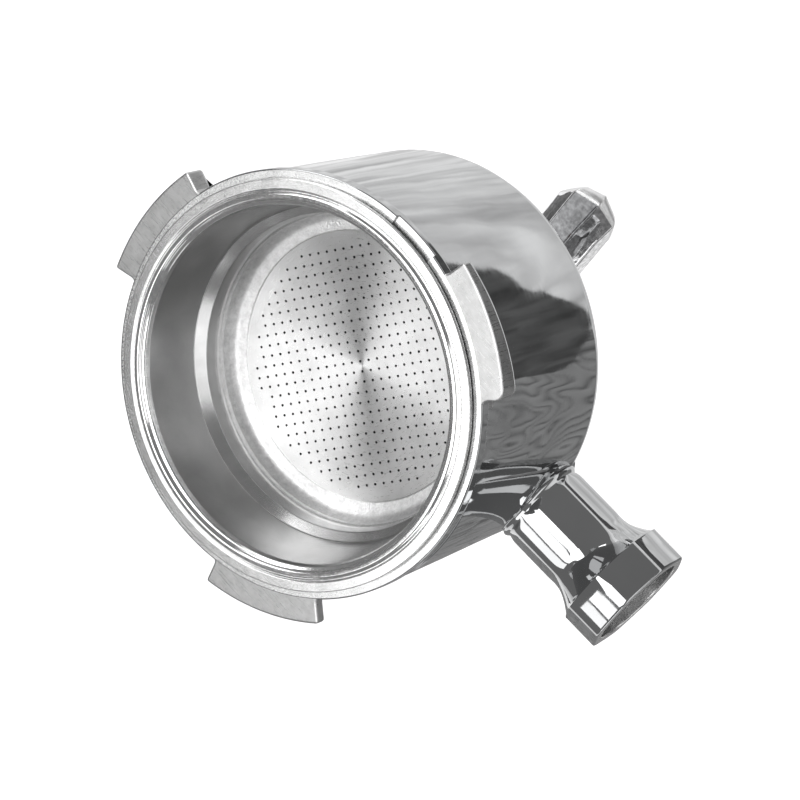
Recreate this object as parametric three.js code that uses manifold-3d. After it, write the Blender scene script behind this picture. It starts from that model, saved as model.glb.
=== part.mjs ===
// Portafilter head: a three-lug holder with its filter basket, retaining wire, sealing washer and
// double spout. Millimetres, +Z up. The origin is the centre of the basket's mouth, in the plane
// of its flange. +X runs along the handle neck, and the two spout arms run along +Y and -Y.

import * as THREE from 'three';
import { mergeVertices } from 'three/addons/utils/BufferGeometryUtils.js';
import Module from 'manifold-3d';

const wasm = await Module();
wasm.setup();

const radians = THREE.MathUtils.degToRad;

// ---- driving dimensions -------------------------------------------------------------------

const SEGMENTS = 60;              // steps round every large turned form
const SMALL_SEGMENTS = 40;        // steps round the washer, bores and hub
const BORE_SEGMENTS = 24;         // steps round the neck's and the arms' bores
const EDGE_BREAK = 0.3;           // small chamfer on machined edges
const OVERCUT = 1;                // how far a cutter runs past the face that it opens
const OVERLAP = 1;                // how far joined forms run into each other
const FOOT_STEPS = 4;             // steps in the cup's outer bottom corner
const FLOOR_STEPS = 3;            // steps in the cup's inner bottom corner
const WELD = 1e-4;                // points closer than this are one point

// holder: the rim ring that carries the flange, and the cup below it
const RIM_TOP = -1.2;
const RIM_RADIUS = 36.5;
const RIM_HEIGHT = 2.4;
const RIM_FOOT_RISE = 0.4;
const WALL_TOP_RADIUS = 36.2;
const WALL_FOOT_RADIUS = 34.9;
const CUP_BOTTOM = -43.8;
const FOOT_ROUND = 3;
const BORE_RADIUS = 32;
const BORE_EDGE_BREAK = 0.4;
const CUP_FLOOR = -38.5;
const BORE_ROUND = 2.5;

// bayonet lugs
const LUG_RADIUS = 40.7;
const LUG_ROOT_RADIUS = 34.5;
const LUG_ANGLES = [60, 180, 300];
const LUG_SPAN = 33.5;
const LUG_THICK_END = 4.7;
const LUG_THIN_END = 2.6;

// index notch in the rim ring
const NOTCH_ANGLE = 90;
const NOTCH_SPAN = 14.4;
const NOTCH_DEPTH = 0.8;
const NOTCH_INNER_RADIUS = 33.6;

// handle neck: an octagon that runs out of the cup wall and slopes down
const NECK_START = new THREE.Vector3(34.6, 0, -35.9);
const NECK_SLOPE = radians(5.2);
const NECK_ROOT = -1.6;
const NECK_FLAT_END = 12.8;
const NECK_CORNER_RADIUS = 8.4;
const NECK_CORNER_ROUND = 1.6;
const FLARE_START = 15;
const FLARE_END = 17.4;
const FLARE_END_CORNER_RADIUS = 10.25;
const FLARE_CORNER_ROUND = 3;
const COLLAR_START = 18.6;
const COLLAR_END = 25.3;
const COLLAR_CORNER_RADIUS = 11.15;
const COLLAR_CORNER_ROUND = 1.2;
const COLLAR_CHAMFER = 0.5;
const NECK_BORE_SEGMENTS = 32;
const SOCKET_RADIUS = 8.7;
const SOCKET_DEPTH = 6;
const HANDLE_THREAD_RADIUS = 5.3;
const HANDLE_THREAD_DEPTH = 19;

// boss on the cup wall that leads from the rim to the neck
const BOSS_TOP = -3.4;
const BOSS_FOOT = -42.4;
const BOSS_TOP_HALF_ANGLE = 24;
const BOSS_FOOT_HALF_ANGLE = 12;
const BOSS_TOP_RISE = 0.5;
const BOSS_FOOT_RISE = 2.1;
const BOSS_SINK = 0.6;
const BOSS_FULLNESS = 0.7;
const BOSS_ROOT_RADIUS = 33.6;

// wire that holds the basket, in a groove inside the cup
const WIRE_HEIGHT = -8.5;
const WIRE_RADIUS = 0.7;
const WIRE_RING_RADIUS = 31.95;
const WIRE_GAP = 36;
const WIRE_STEPS = 48;
const WIRE_CURVE_SEGMENTS = 4;
const GROOVE_RADIUS = 33;
const GROOVE_HALF_HEIGHT = 1.05;

// filter basket
const SHEET = 0.8;
const FLANGE_RADIUS = 35;
const FLANGE_THICKNESS = 0.9;
const FLANGE_INNER_RADIUS = 33.2;
const BEAD_OUTER_FOOT = [32.9, -0.25];
const BEAD_OUTER_TOP = [32.4, 0.25];
const BEAD_INNER_TOP = [31.7, 0.25];
const LIP_TOP = [30.9, -0.3];
const LIP_FOOT = [30.5, -1.2];
const UPPER_WALL_FOOT = [29, -12.3];
const STEP_FOOT = [27.5, -14.1];
const LOWER_WALL_FOOT = [26.5, -19.7];
const CORNER_RING = [25.2, -20.6];
const FLOOR_EDGE = [22.6, -20.8];
const FLOOR_CENTRE = -21.5;
const DISH_STEPS = 3;
const CORNER_SETBACK = 0.4;       // an outside corner of the sheet sits this far below the inside one

// spout thread, sealing washer and spout
const THREAD_RADIUS = 8.3;
const THREAD_CLEARANCE = 0.3;
const THREAD_LENGTH = 8.4;
const UNDER_BOSS_RADIUS = 11.6;
const UNDER_BOSS_BOTTOM = -47;
const GAP = 0.3;
const WASHER_THICKNESS = 1.4;
const WASHER_INNER_RADIUS = 8.4;
const WASHER_RADIUS = 11.2;
const SHOULDER_TOP = UNDER_BOSS_BOTTOM - WASHER_THICKNESS - 2 * GAP;
const HUB_CORNER_RADIUS = 11.4;
const HUB_CORNER_ROUND = 1.2;
const HUB_TOP_BREAK = 0.5;
const HUB_OCTAGON_HEIGHT = 6;
const HUB_TAPER_HEIGHT = 1.2;
const HUB_TAPER_CORNER_RADIUS = 9.6;
const STEM_RADIUS = 8.6;
const STEM_SHOULDER = [7.7, -70];
const STEM_WALL_FOOT = -67.6;
const STEM_FLAT_RADIUS = 5.1;
const HUB_BOTTOM = -71;
const HUB_BORE_RADIUS = 5.2;
const ARM_HEIGHT = -64;
const ARM_CORNER_RADIUS = 6.15;
const ARM_FLARE_START = 28;
const ARM_END = 39;
const ARM_END_CORNER_RADIUS = 7.1;
const ARM_END_DROP = 1.7;
const ARM_CHANNEL_RADIUS = 3.4;

// the slanted cut that opens each arm downwards, swept back a little from the handle's side
const TIP_TOP = [36.2, -58.6];
const TIP_SLANT = radians(45);
const TIP_SWEEP = radians(16);
const TIP_CUTTER_SIZE = 30;
const OUTLET_RADIUS = 4.1;
const OUTLET_SLOPE = radians(48);
const OUTLET_START = 26;
const OUTLET_LENGTH = 20;
const ARM_ROOT = 2;
const ARM_CORNER_ROUND = 0.9;

// ---- helpers ------------------------------------------------------------------------------

// A closed geometry as a manifold solid: shared vertices merged, collapsed triangles dropped.
function solidFrom(geometry) {
  const bare = geometry.clone();
  bare.deleteAttribute('normal');
  bare.deleteAttribute('uv');
  const merged = mergeVertices(bare, WELD);
  const corners = merged.index.array;
  const kept = [];
  for (let i = 0; i < corners.length; i += 3) {
    const [a, b, c] = [corners[i], corners[i + 1], corners[i + 2]];
    if (a !== b && b !== c && c !== a) kept.push(a, b, c);
  }
  const mesh = new wasm.Mesh({
    numProp: 3,
    vertProperties: new Float32Array(merged.attributes.position.array),
    triVerts: new Uint32Array(kept),
  });
  return new wasm.Manifold(mesh);
}

function geometryFrom(solid) {
  const mesh = solid.getMesh();
  const geometry = new THREE.BufferGeometry();
  geometry.setAttribute('position', new THREE.BufferAttribute(new Float32Array(mesh.vertProperties), 3));
  geometry.setIndex(new THREE.BufferAttribute(new Uint32Array(mesh.triVerts), 1));
  geometry.computeVertexNormals();
  return geometry;
}

// A turned form about Z. The profile is a list of [radius, height], anticlockwise.
function turned(profile, segments = SEGMENTS) {
  const points = profile.map(([radius, height]) => new THREE.Vector2(radius, height));
  return new THREE.LatheGeometry(points, segments).rotateX(Math.PI / 2);
}

function closedProfile(points) {
  return [...points, points[0]];
}

// Points on a circular arc in a profile, ends included.
function arc(centre, radius, fromDegrees, toDegrees, steps) {
  const points = [];
  for (let i = 0; i <= steps; i++) {
    const angle = radians(fromDegrees + (toDegrees - fromDegrees) * i / steps);
    points.push([centre[0] + radius * Math.cos(angle), centre[1] + radius * Math.sin(angle)]);
  }
  return points;
}

// A plain rod about Z.
function rod(radius, bottom, top, segments = SMALL_SEGMENTS) {
  const geometry = new THREE.CylinderGeometry(radius, radius, top - bottom, segments);
  geometry.rotateX(Math.PI / 2);
  geometry.translate(0, 0, (top + bottom) / 2);
  return geometry;
}

// A skin through rings of equal count, with a flat cap on each end.
function loft(rings) {
  const count = rings[0].length;
  const positions = [];
  const index = [];
  for (const ring of rings) {
    for (const point of ring) positions.push(point.x, point.y, point.z);
  }
  for (let row = 0; row + 1 < rings.length; row++) {
    for (let i = 0; i < count; i++) {
      const a = row * count + i;
      const b = row * count + (i + 1) % count;
      index.push(a, b, b + count, a, b + count, a + count);
    }
  }
  const last = (rings.length - 1) * count;
  for (let i = 1; i + 1 < count; i++) {
    index.push(0, i + 1, i);
    index.push(last, last + i, last + i + 1);
  }
  const geometry = new THREE.BufferGeometry();
  geometry.setAttribute('position', new THREE.Float32BufferAttribute(positions, 3));
  geometry.setIndex(index);
  return geometry;
}

// A regular octagon with a flat on top, its corners rounded by a short arc each, as [across, up].
function octagon(cornerRadius, round) {
  const points = [];
  const inset = round / Math.cos(radians(22.5));
  for (let corner = 0; corner < 8; corner++) {
    const middle = 22.5 + 45 * corner;
    const centre = cornerRadius - inset;
    for (const offset of [-22.5, 0, 22.5]) {
      const angle = radians(middle + offset);
      points.push([
        centre * Math.cos(radians(middle)) + round * Math.cos(angle),
        centre * Math.sin(radians(middle)) + round * Math.sin(angle),
      ]);
    }
  }
  return points;
}

// An octagon ring on the neck's own axis, which starts at NECK_START.
function neckRing(distance, cornerRadius, round) {
  return octagon(cornerRadius, round).map(([across, up]) => neckPoint(distance, across, up));
}

function neckPoint(distance, across, up) {
  const x = NECK_START.x + distance * Math.cos(NECK_SLOPE) + up * Math.sin(NECK_SLOPE);
  const z = NECK_START.z - distance * Math.sin(NECK_SLOPE) + up * Math.cos(NECK_SLOPE);
  return new THREE.Vector3(x, across, z);
}

// A rod on the neck's axis.
function neckRod(radius, from, to) {
  const geometry = rod(radius, from, to, NECK_BORE_SEGMENTS);
  geometry.rotateY(Math.PI / 2 + NECK_SLOPE);
  geometry.translate(NECK_START.x, NECK_START.y, NECK_START.z);
  return geometry;
}

// ---- holder -------------------------------------------------------------------------------

// Cup and rim ring as one turned form, with the wire groove and the threaded outlet in it.
function cup() {
  const wallTop = RIM_TOP - RIM_HEIGHT;
  const footCentre = [WALL_FOOT_RADIUS - FOOT_ROUND, CUP_BOTTOM + FOOT_ROUND];
  const floorCentre = [BORE_RADIUS - BORE_ROUND, CUP_FLOOR + BORE_ROUND];
  const outlet = THREAD_RADIUS;
  return turned(closedProfile([
    [outlet, UNDER_BOSS_BOTTOM],
    [UNDER_BOSS_RADIUS, UNDER_BOSS_BOTTOM],
    [UNDER_BOSS_RADIUS, CUP_BOTTOM],
    ...arc(footCentre, FOOT_ROUND, -90, 0, FOOT_STEPS),
    [WALL_TOP_RADIUS, wallTop],
    [RIM_RADIUS, wallTop + RIM_FOOT_RISE],
    [RIM_RADIUS, RIM_TOP - EDGE_BREAK],
    [RIM_RADIUS - EDGE_BREAK, RIM_TOP],
    [BORE_RADIUS + BORE_EDGE_BREAK, RIM_TOP],
    [BORE_RADIUS, RIM_TOP - BORE_EDGE_BREAK],
    [BORE_RADIUS, WIRE_HEIGHT + GROOVE_HALF_HEIGHT],
    [GROOVE_RADIUS, WIRE_HEIGHT + GROOVE_HALF_HEIGHT],
    [GROOVE_RADIUS, WIRE_HEIGHT - GROOVE_HALF_HEIGHT],
    [BORE_RADIUS, WIRE_HEIGHT - GROOVE_HALF_HEIGHT],
    ...arc(floorCentre, BORE_ROUND, 0, -90, FLOOR_STEPS),
    [outlet, CUP_FLOOR],
  ]));
}

// One lug: a ring sector with a flat top and a ramped underside.
function lug(middle) {
  const steps = 12;
  const rings = [];
  for (let i = 0; i <= steps; i++) {
    const along = i / steps;
    const angle = radians(middle + LUG_SPAN * (along - 0.5));
    const thickness = LUG_THICK_END + (LUG_THIN_END - LUG_THICK_END) * along;
    const top = RIM_TOP;
    const bottom = RIM_TOP - thickness;
    const corner = (radius, z) => new THREE.Vector3(radius * Math.cos(angle), radius * Math.sin(angle), z);
    rings.push([
      corner(LUG_ROOT_RADIUS, bottom),
      corner(LUG_ROOT_RADIUS, top),
      corner(LUG_RADIUS - EDGE_BREAK, top),
      corner(LUG_RADIUS, top - EDGE_BREAK),
      corner(LUG_RADIUS, bottom + EDGE_BREAK),
      corner(LUG_RADIUS - EDGE_BREAK, bottom),
    ]);
  }
  return loft(rings);
}

// Sector of a ring between two heights.
function ringSector(innerRadius, outerRadius, bottom, top, middle, span) {
  const steps = 6;
  const rings = [];
  for (let i = 0; i <= steps; i++) {
    const angle = radians(middle + span * (i / steps - 0.5));
    const corner = (radius, z) => new THREE.Vector3(radius * Math.cos(angle), radius * Math.sin(angle), z);
    rings.push([
      corner(innerRadius, bottom),
      corner(innerRadius, top),
      corner(outerRadius, top),
      corner(outerRadius, bottom),
    ]);
  }
  return loft(rings);
}

// Rounded boss that stands out of the wall, wide at the rim and as wide as the neck at its foot.
function boss() {
  const levels = 8;
  const steps = 14;
  const rings = [];
  for (let i = 0; i <= steps; i++) {
    const side = 2 * i / steps - 1;
    const point = (down, radius) => {
      const halfAngle = BOSS_TOP_HALF_ANGLE + (BOSS_FOOT_HALF_ANGLE - BOSS_TOP_HALF_ANGLE) * down;
      const angle = radians(side * halfAngle);
      const z = BOSS_TOP + (BOSS_FOOT - BOSS_TOP) * down;
      return new THREE.Vector3(radius * Math.cos(angle), radius * Math.sin(angle), z);
    };
    const ring = [point(1, BOSS_ROOT_RADIUS), point(0, BOSS_ROOT_RADIUS)];
    for (let level = 0; level <= levels; level++) {
      const down = level / levels;
      const rise = BOSS_TOP_RISE + (BOSS_FOOT_RISE - BOSS_TOP_RISE) * Math.sin(down * Math.PI / 2);
      const wall = WALL_TOP_RADIUS + (WALL_FOOT_RADIUS - WALL_TOP_RADIUS) * down;
      const crown = Math.max(Math.cos(side * Math.PI / 2), 0) ** BOSS_FULLNESS;
      ring.push(point(down, wall - BOSS_SINK + (rise + BOSS_SINK) * crown));
    }
    rings.push(ring);
  }
  return loft(rings);
}

// Octagonal neck, its flare and the collar that takes the handle.
function neck() {
  const edge = COLLAR_CHAMFER;
  return loft([
    neckRing(NECK_ROOT, NECK_CORNER_RADIUS, NECK_CORNER_ROUND),
    neckRing(NECK_FLAT_END, NECK_CORNER_RADIUS, NECK_CORNER_ROUND),
    neckRing(FLARE_START, NECK_CORNER_RADIUS, FLARE_CORNER_ROUND),
    neckRing(FLARE_END, FLARE_END_CORNER_RADIUS, FLARE_CORNER_ROUND),
    neckRing(COLLAR_START, COLLAR_CORNER_RADIUS, COLLAR_CORNER_ROUND),
    neckRing(COLLAR_END - edge, COLLAR_CORNER_RADIUS, COLLAR_CORNER_ROUND),
    neckRing(COLLAR_END, COLLAR_CORNER_RADIUS - edge, COLLAR_CORNER_ROUND),
  ]);
}

function holderBody() {
  let body = solidFrom(cup());
  for (const angle of LUG_ANGLES) body = body.add(solidFrom(lug(angle)));
  body = body.add(solidFrom(boss()));
  body = body.add(solidFrom(neck()));
  const notchTop = RIM_TOP + OVERCUT;
  const notchOuterRadius = RIM_RADIUS + OVERCUT;
  const notch = ringSector(
    NOTCH_INNER_RADIUS, notchOuterRadius, RIM_TOP - NOTCH_DEPTH, notchTop, NOTCH_ANGLE, NOTCH_SPAN);
  body = body.subtract(solidFrom(notch));
  const socketFloor = COLLAR_END - SOCKET_DEPTH;
  body = body.subtract(solidFrom(neckRod(SOCKET_RADIUS, socketFloor, COLLAR_END + OVERCUT)));
  const threadEnd = COLLAR_END - HANDLE_THREAD_DEPTH;
  body = body.subtract(solidFrom(neckRod(HANDLE_THREAD_RADIUS, threadEnd, COLLAR_END)));
  return geometryFrom(body);
}

// ---- basket and its wire ------------------------------------------------------------------

// Pressed sheet basket: flange, bead, tapered wall, step, lower wall, corner ring, dished floor.
function filterBasket() {
  const dish = [];
  for (let i = DISH_STEPS; i >= 0; i--) {
    const radius = FLOOR_EDGE[0] * i / DISH_STEPS;
    const sag = (FLOOR_EDGE[1] - FLOOR_CENTRE) * (radius / FLOOR_EDGE[0]) ** 2;
    dish.push([radius, FLOOR_CENTRE + sag]);
  }
  const inside = [
    [FLANGE_RADIUS, 0],
    [FLANGE_INNER_RADIUS, 0],
    BEAD_OUTER_FOOT,
    BEAD_OUTER_TOP,
    BEAD_INNER_TOP,
    LIP_TOP,
    LIP_FOOT,
    UPPER_WALL_FOOT,
    STEP_FOOT,
    LOWER_WALL_FOOT,
    CORNER_RING,
    ...dish,
  ];
  const outside = dish.map(([radius, z]) => [radius, z - SHEET]).reverse();
  outside.push(
    [CORNER_RING[0] + CORNER_SETBACK, CORNER_RING[1] - SHEET],
    [LOWER_WALL_FOOT[0] + SHEET, LOWER_WALL_FOOT[1] - CORNER_SETBACK],
    [STEP_FOOT[0] + SHEET, STEP_FOOT[1] - CORNER_SETBACK],
    [UPPER_WALL_FOOT[0] + SHEET, UPPER_WALL_FOOT[1] - CORNER_SETBACK],
    [LIP_FOOT[0] + SHEET, LIP_FOOT[1] - CORNER_SETBACK],
    [LIP_FOOT[0] + SHEET + CORNER_SETBACK, -FLANGE_THICKNESS],
    [FLANGE_RADIUS, -FLANGE_THICKNESS],
  );
  return turned([...outside, ...inside]);
}

class RingArc extends THREE.Curve {
  constructor(radius, height, gapDegrees) {
    super();
    this.radius = radius;
    this.height = height;
    this.gap = radians(gapDegrees);
  }

  getPoint(along, target = new THREE.Vector3()) {
    const angle = this.gap / 2 + (2 * Math.PI - this.gap) * along;
    return target.set(this.radius * Math.cos(angle), this.radius * Math.sin(angle), this.height);
  }
}

// Open wire ring that grips the basket.
function basketWire() {
  const section = new THREE.Shape().absarc(0, 0, WIRE_RADIUS, 0, 2 * Math.PI);
  return new THREE.ExtrudeGeometry(section, {
    steps: WIRE_STEPS,
    curveSegments: WIRE_CURVE_SEGMENTS,
    bevelEnabled: false,
    extrudePath: new RingArc(WIRE_RING_RADIUS, WIRE_HEIGHT, WIRE_GAP),
  });
}

// ---- washer and spout ---------------------------------------------------------------------

function spoutWasher() {
  const top = UNDER_BOSS_BOTTOM - GAP;
  const bottom = top - WASHER_THICKNESS;
  const inner = WASHER_INNER_RADIUS;
  return turned(closedProfile([
    [inner, bottom],
    [WASHER_RADIUS, bottom],
    [WASHER_RADIUS, top],
    [inner, top],
  ]), SMALL_SEGMENTS);
}

// One arm from the hub, straight, then flared and leaning down a little, cut off at a slant.
function spoutArm(side) {
  const stations = [
    [ARM_ROOT, ARM_CORNER_RADIUS, 0],
    [ARM_FLARE_START, ARM_CORNER_RADIUS, 0],
    [ARM_END, ARM_END_CORNER_RADIUS, ARM_END_DROP],
  ];
  const rings = stations.map(([distance, cornerRadius, drop]) => (
    octagon(cornerRadius, ARM_CORNER_ROUND).map(([across, up]) => (
      new THREE.Vector3(-side * across, side * distance, ARM_HEIGHT - drop + up)
    ))
  ));
  return solidFrom(loft(rings)).subtract(solidFrom(tipCutter(side)));
}

// A block whose near face is the arm's slanted end.
function tipCutter(side) {
  const size = TIP_CUTTER_SIZE;
  const block = new THREE.BoxGeometry(size, size, size);
  block.translate(0, size / 2, 0);
  block.rotateX(-TIP_SLANT);
  block.rotateZ(TIP_SWEEP);
  block.translate(0, TIP_TOP[0], TIP_TOP[1]);
  if (side < 0) block.rotateZ(Math.PI).scale(-1, 1, 1);
  return side < 0 ? inverted(block) : block;
}

// A mirrored geometry has its faces inside out, so each triangle is turned over.
function inverted(geometry) {
  const corners = geometry.index.array;
  for (let i = 0; i < corners.length; i += 3) {
    [corners[i], corners[i + 1]] = [corners[i + 1], corners[i]];
  }
  return geometry;
}

function hub() {
  const octagonBottom = SHOULDER_TOP - HUB_OCTAGON_HEIGHT;
  const level = (z, cornerRadius) => (
    octagon(cornerRadius, HUB_CORNER_ROUND).map(([x, y]) => new THREE.Vector3(x, y, z))
  );
  const collar = loft([
    level(octagonBottom - HUB_TAPER_HEIGHT, HUB_TAPER_CORNER_RADIUS),
    level(octagonBottom, HUB_CORNER_RADIUS),
    level(SHOULDER_TOP - HUB_TOP_BREAK, HUB_CORNER_RADIUS),
    level(SHOULDER_TOP, HUB_CORNER_RADIUS - HUB_TOP_BREAK),
  ]);
  const stem = turned([
    [0, HUB_BOTTOM],
    [STEM_FLAT_RADIUS, HUB_BOTTOM],
    STEM_SHOULDER,
    [STEM_RADIUS, STEM_WALL_FOOT],
    [STEM_RADIUS, SHOULDER_TOP - OVERLAP],
    [0, SHOULDER_TOP - OVERLAP],
  ], SMALL_SEGMENTS);
  const threadTop = SHOULDER_TOP + THREAD_LENGTH;
  const nipple = rod(THREAD_RADIUS - THREAD_CLEARANCE, SHOULDER_TOP - OVERLAP, threadTop);
  return solidFrom(collar).add(solidFrom(stem)).add(solidFrom(nipple));
}

// Hub with both arms, bored from the thread to the two slanted outlets.
function spoutBody() {
  let body = hub();
  for (const side of [1, -1]) body = body.add(spoutArm(side));
  const threadTop = SHOULDER_TOP + THREAD_LENGTH;
  const bore = rod(HUB_BORE_RADIUS, ARM_HEIGHT - ARM_CHANNEL_RADIUS, threadTop + OVERCUT);
  body = body.subtract(solidFrom(bore));
  const channel = rod(ARM_CHANNEL_RADIUS, -ARM_END, ARM_END, BORE_SEGMENTS);
  channel.rotateX(Math.PI / 2);
  channel.translate(0, 0, ARM_HEIGHT);
  body = body.subtract(solidFrom(channel));
  for (const side of [1, -1]) {
    const outlet = rod(OUTLET_RADIUS, -OUTLET_LENGTH, 0, BORE_SEGMENTS);
    outlet.rotateX(side * (Math.PI / 2 - OUTLET_SLOPE));
    outlet.translate(0, side * OUTLET_START, ARM_HEIGHT);
    body = body.subtract(solidFrom(outlet));
  }
  return geometryFrom(body);
}

// ---- materials and assembly ---------------------------------------------------------------

const chrome = { color: 0xc9ccd0, roughness: 0.08, metalness: 1 };
const basketSteel = { color: 0xb4b6b9, roughness: 0.28, metalness: 1 };
const springSteel = { color: 0xa5a7aa, roughness: 0.35, metalness: 1 };
const sealFibre = { color: 0x8a5a3c, roughness: 0.85, metalness: 0 };

const group = new THREE.Group();

function addPart(name, geometry, finish) {
  const mesh = new THREE.Mesh(geometry, new THREE.MeshStandardMaterial(finish));
  mesh.name = name;
  group.add(mesh);
}

addPart('holder_body', holderBody(), chrome);
addPart('filter_basket', filterBasket(), basketSteel);
addPart('basket_retaining_wire', basketWire(), springSteel);
addPart('spout_washer', spoutWasher(), sealFibre);
addPart('spout_body', spoutBody(), chrome);

export default group;
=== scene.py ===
import math

import bmesh
import bpy
import numpy as np
from mathutils import Matrix, Vector
from mathutils.geometry import delaunay_2d_cdt


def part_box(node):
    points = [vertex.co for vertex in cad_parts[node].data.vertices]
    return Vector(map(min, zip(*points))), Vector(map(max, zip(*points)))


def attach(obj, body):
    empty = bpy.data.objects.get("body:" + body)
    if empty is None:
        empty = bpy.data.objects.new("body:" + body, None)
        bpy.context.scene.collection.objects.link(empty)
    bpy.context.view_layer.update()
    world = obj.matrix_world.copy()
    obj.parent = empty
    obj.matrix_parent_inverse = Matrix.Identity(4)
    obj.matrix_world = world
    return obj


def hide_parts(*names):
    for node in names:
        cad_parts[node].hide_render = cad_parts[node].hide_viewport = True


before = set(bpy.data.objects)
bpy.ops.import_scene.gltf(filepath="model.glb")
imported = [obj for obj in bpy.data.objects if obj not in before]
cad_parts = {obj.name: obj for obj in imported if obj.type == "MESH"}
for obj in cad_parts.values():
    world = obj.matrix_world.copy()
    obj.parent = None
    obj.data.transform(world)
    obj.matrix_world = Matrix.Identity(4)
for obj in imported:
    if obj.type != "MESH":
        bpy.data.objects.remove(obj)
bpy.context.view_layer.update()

# Shapes below are worked out in millimetres in the frame's own axes: the origin is the centre of the
# basket's mouth, +Z points out of the mouth, +X runs along the handle neck, the arms run along Y.
MM = 0.001


def corners(node):
    """Lowest and highest corner of a CAD node, in millimetres."""
    low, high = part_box(node)
    return low / MM, high / MM


HOLDER_LOW, HOLDER_HIGH = corners("holder_body")
BASKET_LOW, BASKET_HIGH = corners("filter_basket")
WIRE_LOW, WIRE_HIGH = corners("basket_retaining_wire")
WASHER_LOW, WASHER_HIGH = corners("spout_washer")
SPOUT_LOW, SPOUT_HIGH = corners("spout_body")

# cup
RIM_TOP = HOLDER_HIGH.z
LUG_RADIUS = -HOLDER_LOW.x
LUG_REACH = 4.2
RIM_RADIUS = LUG_RADIUS - LUG_REACH
RIM_HEIGHT = 2.4
RIM_FOOT = RIM_TOP - RIM_HEIGHT
WALL_TOP_RADIUS = RIM_RADIUS - 0.3
WALL_FOOT_RADIUS = RIM_RADIUS - 1.6
CUP_BOTTOM = -43.8
FOOT_ROUND = 3.0
BORE_RADIUS = 32.0
CUP_FLOOR = -38.5
UNDER_BOSS_RADIUS = 11.6
PART_GAP = 0.3
UNDER_BOSS_BOTTOM = WASHER_HIGH.z + PART_GAP
WIRE_HEIGHT = (WIRE_LOW.z + WIRE_HIGH.z) / 2
GROOVE_TOP = WIRE_HEIGHT + 1.05
GROOVE_FOOT = WIRE_HEIGHT - 1.05
GROOVE_DEPTH = 1.05
CUP_STEPS = 240

# key notch in the rim, angles in degrees
NOTCH_MIDDLE = 90
NOTCH_HALF_SPAN = 7.2
NOTCH_DEPTH = 0.8
NOTCH_INNER_RADIUS = 33.6
NOTCH_EDGE = 0.12

# bayonet lugs, angles in degrees
LUG_MIDDLES = (60, 180, 300)
ROUNDED_LUG = 60
LUG_SPAN = 33.5
LUG_THICK_END = 4.7
LUG_THIN_END = 2.6
LUG_SINK = 1.5
LUG_BELOW_RIM = 0.02
LUG_ROOT = 2.4
LUG_FILLET = 1.1
LUG_CORNER = 0.7
ROUNDED_ROOT = 4.5
ROUNDED_FILLET = 2.0
ROUNDED_CORNER = 1.9

# boss on the wall: half angles in degrees at its top and foot, and its rise over the wall there
BOSS_TOP, BOSS_FOOT = -3.5, -42.2
BOSS_HALF_ANGLES = (24.0, 12.0)
BOSS_RISES = (0.5, 1.0)
BOSS_SINK = 0.6
BOSS_BACK_RADIUS = 33.6

# handle neck, on an axis that slopes down away from the cup
NECK_START = Vector((34.6, 0, -35.9))
NECK_SLOPE = math.radians(5.2)
NECK_FLAT = 7.76
COLLAR_FLAT = 10.3
COLLAR_EDGE = 0.35
NECK_ROOT = -2.5
RIDGE_END = 1.6
RIDGE_RISE = 0.5
FLATS_START = 3.2
FLATS_END = 10.5
FLARE_START = 12.6
COLLAR_START = 18.4
COLLAR_END = 25.3
SOCKET_RADIUS = 8.7
SOCKET_DEPTH = 6.0
HANDLE_THREAD_RADIUS = 5.35
HANDLE_THREAD_DEPTH = 0.45
HANDLE_THREAD_PITCH = 1.75
HANDLE_BORE_DEPTH = 19.0

# basket
FLANGE_RADIUS = BASKET_HIGH.x
FLANGE_THICKNESS = 0.9
SHEET = 0.8
FLOOR_CENTRE = BASKET_LOW.z + SHEET
FLOOR_EDGE = (22.6, -20.8)
PERFORATED_RADIUS = 21.7
HOLE_PITCH = 1.774
HOLE_RADIUS = 0.24
HOLE_SIDES = 12
HOLE_TURN = math.radians(54.74)
HOLE_OFFSET = (0.6, -0.73)

# retaining wire: half of its gap in degrees, how far its three grips and its two ends stand in and out
WIRE_HALF_GAP = 18
WIRE_PINCH = 0.25
WIRE_END_FLARE = 0.15

# spout
SPOUT_TOP = SPOUT_HIGH.z
SHOULDER_TOP = WASHER_LOW.z - PART_GAP
THREAD_PITCH = 1.337
THREAD_ROOT_RADIUS = 7.35
THREAD_CREST_RADIUS = 8.0
THREAD_LEAD = 0.9
HUB_FLAT = 10.5
HUB_HEIGHT = 6.0
STEM_RADIUS = 8.6
STEM_BOTTOM = SPOUT_LOW.z
HUB_BORE_RADIUS = 5.2
ARM_HEIGHT = -64.0
ARM_FLAT = 5.7
ARM_END_FLAT = 6.55
ARM_BEND = 28.0
ARM_END = 39.0
ARM_DROP = 1.7
ARM_BORE_RADIUS = 3.4
OUTLET_RADIUS = 4.5
LIP = 1.5
TIP_TOP = (36.2, -58.6)
TIP_SLANT = math.radians(45)
TIP_SWEEP = math.radians(16)


# ---- mesh helpers -------------------------------------------------------------------------------

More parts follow.
